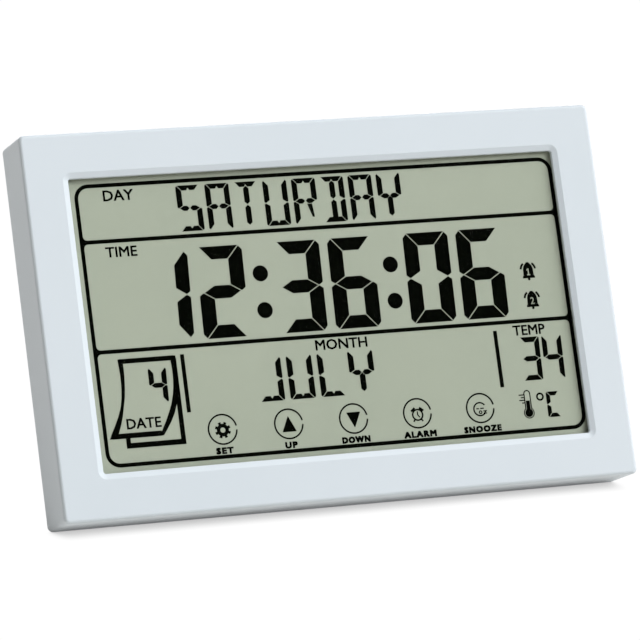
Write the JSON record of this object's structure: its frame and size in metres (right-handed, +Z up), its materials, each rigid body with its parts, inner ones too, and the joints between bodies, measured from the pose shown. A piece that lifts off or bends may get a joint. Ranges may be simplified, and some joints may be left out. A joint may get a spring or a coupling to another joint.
{
  "type": "digital calendar clock",
  "caption": "Slim white desk clock with a wide liquid crystal calendar display, touch keys on the glass, a leaning case and a folding rear leg.",
  "frame": {"origin": "centre of the bounding box in plan, on the table that the clock stands on", "axes": "+X to the viewer's right when facing the display, +Z up, display facing -Y and leaning back towards +Y"},
  "size_m": [0.222, 0.0694, 0.1382],
  "materials": {
    "case_white": "satin moulded ABS",
    "cover_white": "finely spark-textured ABS",
    "lens_clear": "clear acrylic",
    "film_clear": "clear conductive film",
    "polariser_grey": "polarising film",
    "glass_clear": "thin float glass",
    "lcd_field": "reflective grey-green film",
    "tray_white": "moulded ABS",
    "strip_grey": "layered silicone",
    "board_green": "solder-masked laminate",
    "resin_black": "cast resin",
    "can_silver": "drawn can",
    "bead_blue": "dipped bead",
    "brass_disc": "rolled sheet",
    "lead_sheath": "vinyl sheath",
    "contact_steel": "nickel-plated spring steel",
    "cell_jacket": "plain sleeve",
    "pin_steel": "drawn rod",
    "screw_steel": "zinc plated",
    "foot_rubber": "light grey elastomer"
  },
  "bodies": {
    "case": {"batteries": "cell_jacket", "battery_contacts": "contact_steel", "battery_leads": "lead_sheath", "battery_springs": "contact_steel", "board_capacitors": "can_silver", "board_screws": "screw_steel", "buzzer": "brass_disc", "buzzer_leads": "lead_sheath", "case_screws": "screw_steel", "contact_strips": "strip_grey", "controller_blob": "resin_black", "display_lens": "lens_clear", "display_tray": "tray_white", "front_frame": "case_white", "front_polariser": "polariser_grey", "lcd_front_glass": "glass_clear", "lcd_rear_glass": "glass_clear", "main_board": "board_green", "quartz_crystal": "can_silver", "rear_cover": "cover_white", "rear_reflector": "lcd_field", "stand_hinge_pin": "pin_steel", "thermistor": "bead_blue", "touch_sensor_film": "film_clear", "tray_screws": "screw_steel"},
    "leg": {"stand_leg": "cover_white", "stand_foot_pad": "foot_rubber"},
    "door": {"battery_door": "cover_white"}
  },
  "joints": [
    {"name": "stand_hinge", "type": "hinge", "parent": "case", "child": "leg", "pos_m": [0, 0.01435, 0.08294], "axis": [1, 0, 0], "range_deg": [-32, 0]},
    {"name": "battery_door_hinge", "type": "hinge", "parent": "case", "child": "door", "pos_m": [0.05815, -0.00624, 0.02166], "axis": [-1, 0, 0], "range_deg": [0, 75]}
  ]
}
